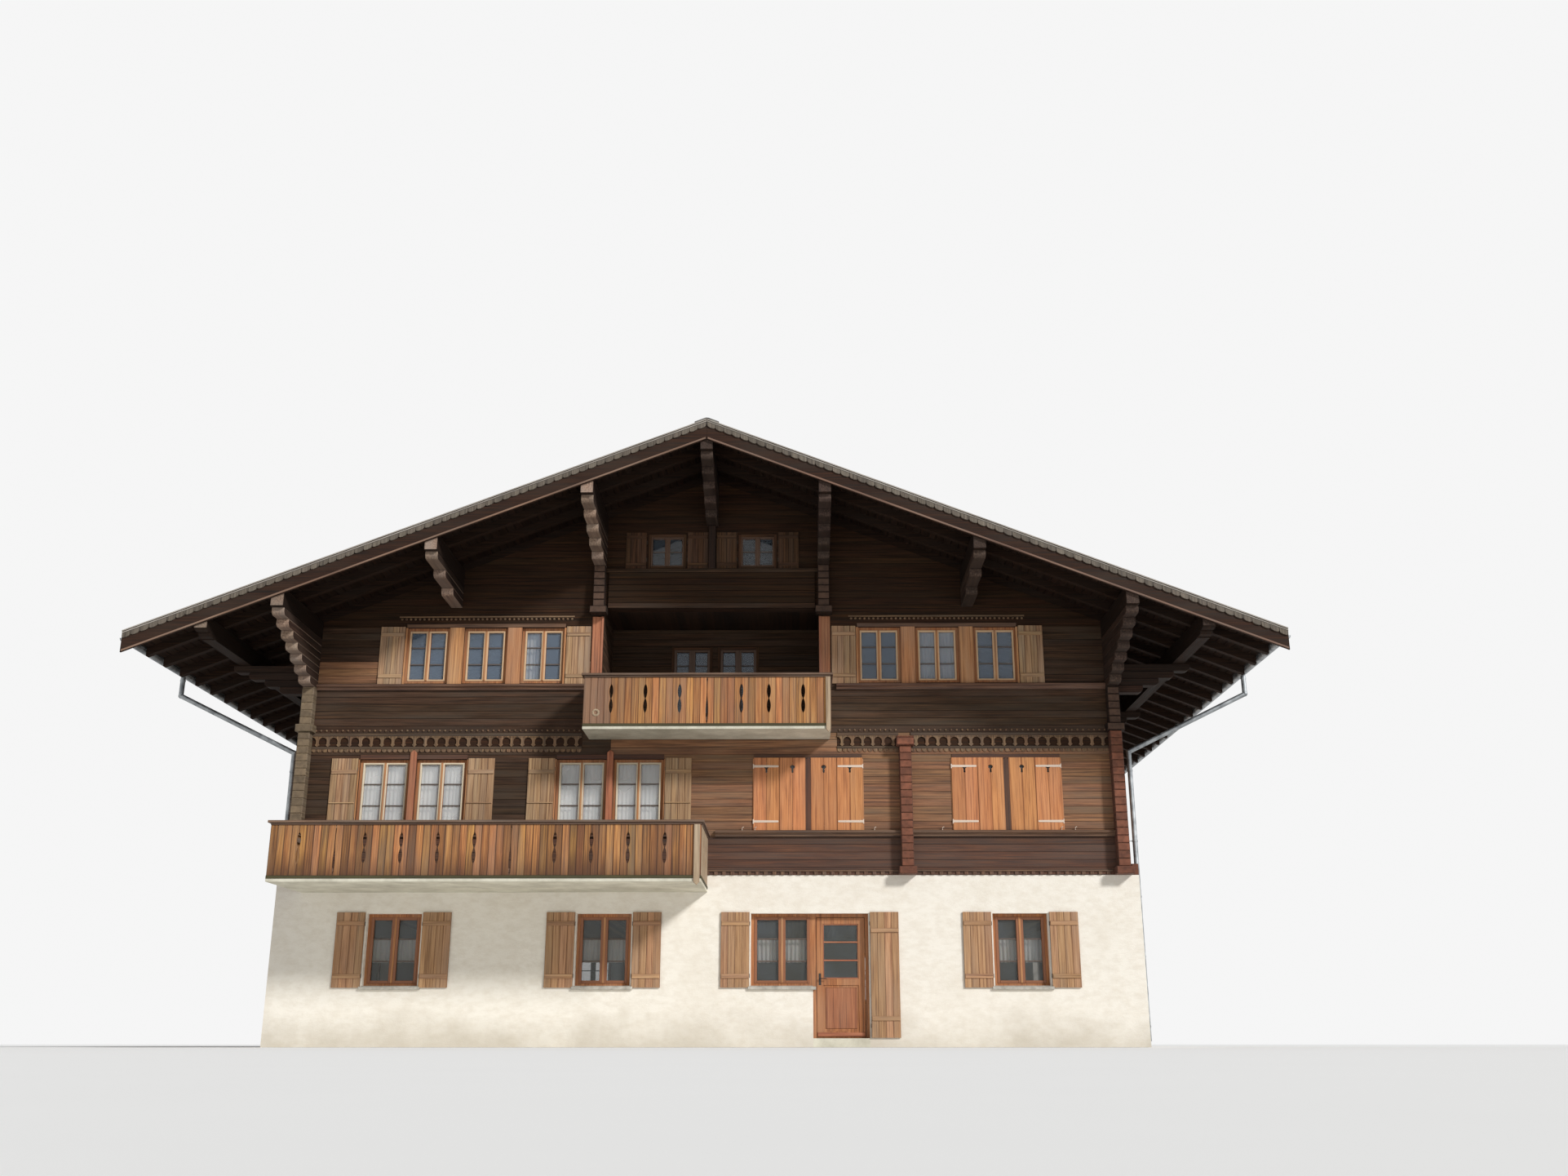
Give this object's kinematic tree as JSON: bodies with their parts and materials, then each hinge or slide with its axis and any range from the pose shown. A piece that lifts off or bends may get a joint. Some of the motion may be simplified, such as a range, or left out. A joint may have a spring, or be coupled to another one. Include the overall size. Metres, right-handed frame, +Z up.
{
  "type": "alpine chalet",
  "caption": "Alpine chalet with a plastered ground storey, log storeys above it, a wide low roof on stepped consoles, a recessed loggia, timber balconies and a glazed door that opens.",
  "frame": {"origin": "middle of the footprint at ground level", "axes": "+X along the front to the right as seen from the front, +Y from the front to the back, +Z up"},
  "size_m": [20.28, 16.6, 10.888],
  "materials": {
    "plaster": "matte",
    "concrete": "matte",
    "old_logs": "matte",
    "roof_timber": "matte",
    "floor_boards": "matte",
    "sun_boards": "matte",
    "frame_wood": "satin",
    "shutter_wood": "satin",
    "covering": "matte",
    "pane": "clear",
    "zinc": "matte"
  },
  "bodies": {
    "house": {"ground_front_wall_left": "plaster", "ground_front_wall_right": "plaster", "ground_front_lintel": "plaster", "ground_left_wall": "plaster", "ground_right_wall": "plaster", "ground_back_wall": "plaster", "ground_floor": "concrete", "first_floor": "concrete", "second_floor": "floor_boards", "attic_floor": "floor_boards", "log_front_wall_first": "old_logs", "log_front_wall_second": "old_logs", "front_gable": "old_logs", "log_left_wall": "old_logs", "log_right_wall": "old_logs", "log_back_wall": "old_logs", "back_gable": "old_logs", "loggia_walls": "old_logs", "log_columns": "old_logs", "consoles": "old_logs", "side_brackets": "old_logs", "purlins": "roof_timber", "rafters": "roof_timber", "roof_boards": "roof_timber", "roof_cover": "covering", "ridge_cap": "zinc", "bargeboards": "roof_timber", "gutters": "zinc", "downpipes": "zinc", "upper_balcony_slab": "concrete", "upper_balcony_boards": "sun_boards", "lower_balcony_slab": "concrete", "lower_balcony_boards": "sun_boards", "balcony_handrails": "frame_wood", "ground_window_frames": "frame_wood", "log_window_frames": "frame_wood", "window_glass": "pane", "ground_shutters": "shutter_wood", "log_shutters": "shutter_wood", "window_sills": "frame_wood", "storey_frieze": "old_logs", "attic_parapet": "old_logs", "door_frame": "frame_wood"},
    "door": {"door_leaf": "frame_wood", "door_glass": "pane"}
  },
  "joints": [
    {"name": "door_hinge", "type": "hinge", "parent": "house", "child": "door", "pos_m": [2.812, -5.81, 0.158], "axis": [0, 0, -1], "range_deg": [0, 90]}
  ]
}
